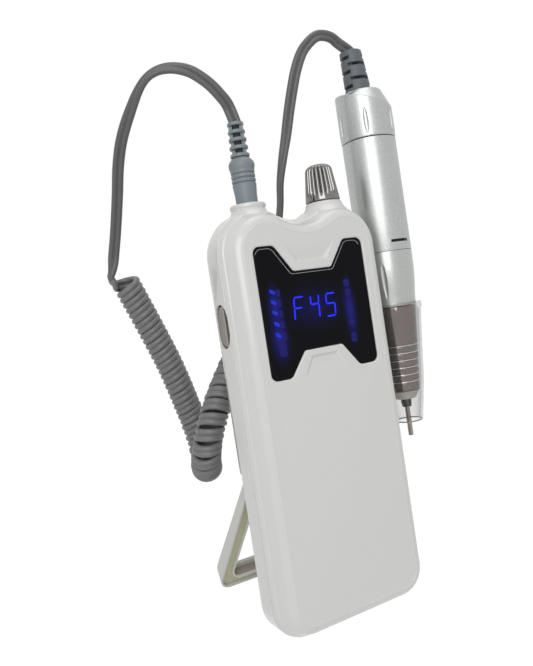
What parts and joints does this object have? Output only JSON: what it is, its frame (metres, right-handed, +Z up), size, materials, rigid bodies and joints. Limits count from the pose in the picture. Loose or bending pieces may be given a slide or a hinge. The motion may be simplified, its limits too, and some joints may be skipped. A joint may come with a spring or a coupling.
{
  "type": "electric nail drill",
  "caption": "Portable electric nail drill: a white control box leaning on a wire-thin kickstand, a curly cord from its top socket, and a silver handpiece with a clear guard held at its side.",
  "frame": {"origin": "middle of the heel, the flat along the box's lower back edge on which the box stands", "axes": "+Z up from the table, -Y towards the display, +X towards the handpiece; the box leans back 14 degrees"},
  "size_m": [0.134, 0.1136, 0.2489],
  "materials": {
    "white_abs": "glossy moulded white",
    "smoked_window": "polished black",
    "black_plastic": "moulded black",
    "circuit_board": "green laminate",
    "cell": "metal cell in a blue wrap",
    "nickel": "nickel plated",
    "steel": "plain steel",
    "chrome": "polished chrome",
    "plated_plastic": "chrome plated plastic",
    "satin_silver": "satin silver",
    "grey_pvc": "soft grey sheath",
    "blue_grey_pvc": "soft blue-grey overmould",
    "dark_rubber": "dark grey",
    "tool_steel": "dark hardened",
    "pale_acetal": "pale moulded",
    "copper": "wound copper",
    "clear_plastic": "clear moulded"
  },
  "bodies": {
    "box": {"front_cover": "white_abs", "rear_cover": "white_abs", "display_window": "smoked_window", "display_module": "black_plastic", "main_board": "circuit_board", "battery_cell_left": "cell", "battery_cell_right": "cell", "battery_tray": "black_plastic", "output_socket": "nickel", "socket_collar": "white_abs", "potentiometer": "steel", "control_nut": "steel", "knob_seat": "white_abs", "button_switch": "black_plastic", "charge_port": "nickel", "cover_screw_lower_left": "steel", "cover_screw_lower_right": "steel", "cover_screw_upper_left": "steel", "cover_screw_upper_right": "steel", "stand_pin_left": "steel", "stand_pin_right": "steel", "handpiece_holder": "white_abs", "holder_screw_lower": "steel", "holder_screw_upper": "steel", "lead_plug_side": "grey_pvc", "curly_cord": "grey_pvc", "lead_tool_side": "grey_pvc"},
    "stand": {"kickstand": "white_abs"},
    "knob": {"speed_knob": "plated_plastic", "control_shaft": "steel"},
    "button": {"direction_button": "plated_plastic"},
    "plug": {"plug_body": "blue_grey_pvc", "plug_barrel": "nickel"},
    "handpiece": {"cord_boot": "dark_rubber", "rear_cap": "satin_silver", "handpiece_body": "satin_silver", "motor_can": "nickel", "motor_magnet": "black_plastic", "brush_cap": "black_plastic", "carbon_brush_left": "black_plastic", "carbon_brush_right": "black_plastic"},
    "sleeve": {"grip_sleeve": "satin_silver", "nose_cone": "chrome", "dust_ring": "pale_acetal", "lock_pin": "steel", "front_bearing": "steel", "rear_bearing": "steel"},
    "spindle": {"motor_rotor": "copper", "drive_coupling": "dark_rubber", "chuck_spindle": "steel", "collet_spring": "steel"},
    "collet": {"collet": "tool_steel"},
    "bit": {"bit_shank": "steel"},
    "guard": {"clear_guard": "clear_plastic"}
  },
  "joints": [
    {"name": "stand_fold", "type": "hinge", "parent": "box", "child": "stand", "pos_m": [0, 0.01816, 0.0629], "axis": [1, 0, 0], "range_deg": [-28.43, 0]},
    {"name": "knob_turn", "type": "hinge", "parent": "box", "child": "knob", "pos_m": [0.0187, 0.03628, 0.17402], "axis": [0, 0.2419, 0.9703], "range_deg": [-300, 0]},
    {"name": "button_press", "type": "slide", "parent": "box", "child": "button", "axis": [1, 0, 0], "range_m": [0, 0.0008], "stiffness_N_per_m": 800, "springref_m": -0.0004},
    {"name": "plug_pull", "type": "slide", "parent": "box", "child": "plug", "axis": [0, 0.2419, 0.9703], "range_m": [0, 0.014], "deforming": ["lead_plug_side"]},
    {"name": "handpiece_pull", "type": "slide", "parent": "box", "child": "handpiece", "axis": [0, -0.9703, 0.2419], "range_m": [0, 0.06], "deforming": ["lead_tool_side"]},
    {"name": "sleeve_twist", "type": "hinge", "parent": "handpiece", "child": "sleeve", "pos_m": [0.05405, 0.03695, 0.14943], "axis": [0, 0.2419, 0.9703], "range_deg": [-36, 0]},
    {"name": "spindle_spin", "type": "hinge", "parent": "handpiece", "child": "spindle", "pos_m": [0.05405, 0.03695, 0.14943], "axis": [0, 0.2419, 0.9703], "continuous": true},
    {"name": "collet_open", "type": "slide", "parent": "spindle", "child": "collet", "axis": [0, -0.2419, -0.9703], "range_m": [0, 0.0008]},
    {"name": "bit_pull", "type": "slide", "parent": "collet", "child": "bit", "axis": [0, -0.2419, -0.9703], "range_m": [0, 0.035]},
    {"name": "guard_pull", "type": "slide", "parent": "sleeve", "child": "guard", "axis": [0, -0.2419, -0.9703], "range_m": [0, 0.06]}
  ],
  "couplings": [
    {"joint": "collet_open", "follows": "sleeve_twist", "m_per_rad": -0.00125}
  ]
}
